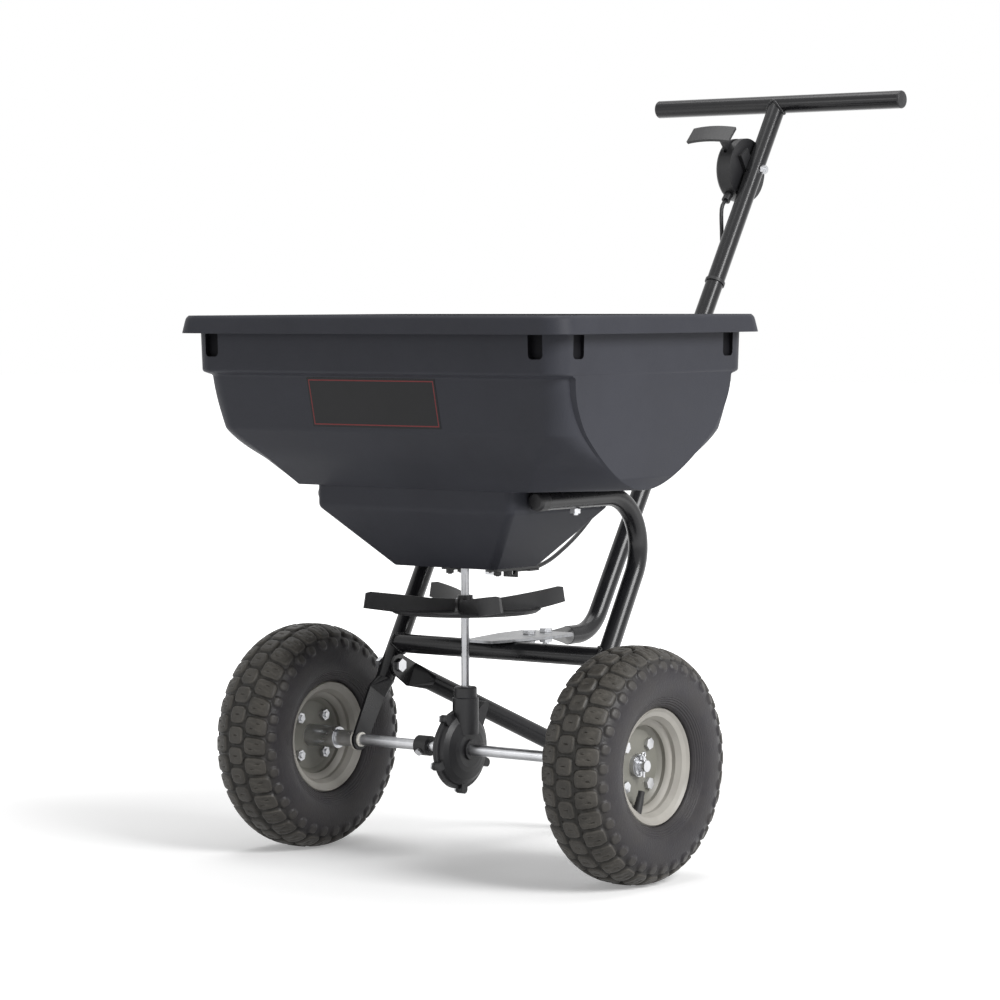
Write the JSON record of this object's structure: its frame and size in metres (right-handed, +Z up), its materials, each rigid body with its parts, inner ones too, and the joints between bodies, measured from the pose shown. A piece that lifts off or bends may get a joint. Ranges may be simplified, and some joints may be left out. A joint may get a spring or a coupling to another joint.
{
  "type": "push broadcast spreader",
  "caption": "Push broadcast spreader: hopper over a geared impeller, pneumatic wheels, bent tube frame with a stand, and a T-handle with a lever for the outlet gate.",
  "frame": {"origin": "middle of the overall box at ground level, between the tyres", "axes": "+X across the axle to the user's right when they push, +Y from the hopper's front towards the handle, +Z up"},
  "size_m": [0.554, 0.8431, 0.8976],
  "materials": {
    "hopper_plastic": "moulded, fine grain",
    "frame_paint": "gloss black powder coat",
    "black_plastic": "moulded, satin",
    "cable_sheath": "smooth extruded sheath",
    "zinc": "bright zinc plating",
    "nylon": "natural nylon",
    "tyre_rubber": "dull rubber with tread blocks",
    "rim_paint": "warm light grey paint",
    "valve_rubber": "black rubber"
  },
  "bodies": {
    "frame": {"hopper": "hopper_plastic", "side_tube_left": "frame_paint", "side_tube_right": "frame_paint", "tube_plugs": "black_plastic", "crossbar": "frame_paint", "stand": "frame_paint", "stand_bolts": "zinc", "handle_lower": "frame_paint", "handle_upper": "frame_paint", "handle_joint_bolts": "zinc", "handle_bar": "frame_paint", "handle_bar_caps": "black_plastic", "handle_plate": "zinc", "handle_plate_bolts": "zinc", "hopper_bolts": "zinc", "axle_bushings": "nylon", "shaft_bushing": "nylon", "gear_case_left": "black_plastic", "gear_case_right": "black_plastic", "gear_case_screws": "zinc", "gate_rails": "frame_paint", "gate_rail_bolts": "frame_paint", "cable_bracket": "frame_paint", "cable_ferrule": "frame_paint", "control_cable": "cable_sheath", "cable_ties": "black_plastic", "dial_base": "black_plastic", "dial_cover": "black_plastic", "dial_pivot_bolt": "zinc"},
    "axle": {"axle": "zinc", "crown_gear": "nylon", "crown_gear_pin": "zinc", "axle_collar": "black_plastic", "collar_screw": "zinc", "axle_spacers": "zinc", "wheel_washers": "zinc", "cotter_pins": "zinc", "drive_pin": "zinc", "tyre_right": "tyre_rubber", "rim_outer_right": "rim_paint", "rim_inner_right": "rim_paint", "hub_right": "zinc", "rim_bolts_right": "zinc", "valve_right": "valve_rubber"},
    "left_wheel": {"tyre_left": "tyre_rubber", "rim_outer_left": "rim_paint", "rim_inner_left": "rim_paint", "hub_left": "zinc", "hub_bushings_left": "nylon", "rim_bolts_left": "zinc", "valve_left": "valve_rubber"},
    "spinner": {"upright_shaft": "zinc", "pinion": "nylon", "impeller": "black_plastic", "impeller_pin": "zinc", "agitator": "zinc"},
    "lever": {"lever": "black_plastic"},
    "gate": {"outlet_gate": "zinc", "gate_wire": "zinc"}
  },
  "joints": [
    {"name": "axle_spin", "type": "hinge", "parent": "frame", "child": "axle", "pos_m": [0, -0.23356, 0.1313], "axis": [1, 0, 0], "continuous": true},
    {"name": "left_wheel_spin", "type": "hinge", "parent": "axle", "child": "left_wheel", "pos_m": [-0.2345, -0.23356, 0.1313], "axis": [1, 0, 0], "continuous": true},
    {"name": "spinner_spin", "type": "hinge", "parent": "frame", "child": "spinner", "pos_m": [0, -0.23356, 0.289], "axis": [0, 0, 1], "continuous": true},
    {"name": "lever_swing", "type": "hinge", "parent": "frame", "child": "lever", "pos_m": [-0.0231, 0.35788, 0.803], "axis": [-1, 0, 0], "range_deg": [0, 50]},
    {"name": "gate_slide", "type": "slide", "parent": "frame", "child": "gate", "axis": [0, 1, 0], "range_m": [0, 0.028]}
  ],
  "couplings": [
    {"joint": "spinner_spin", "follows": "axle_spin", "ratio": 3.3333},
    {"joint": "gate_slide", "follows": "lever_swing", "m_per_rad": 0.032086}
  ]
}
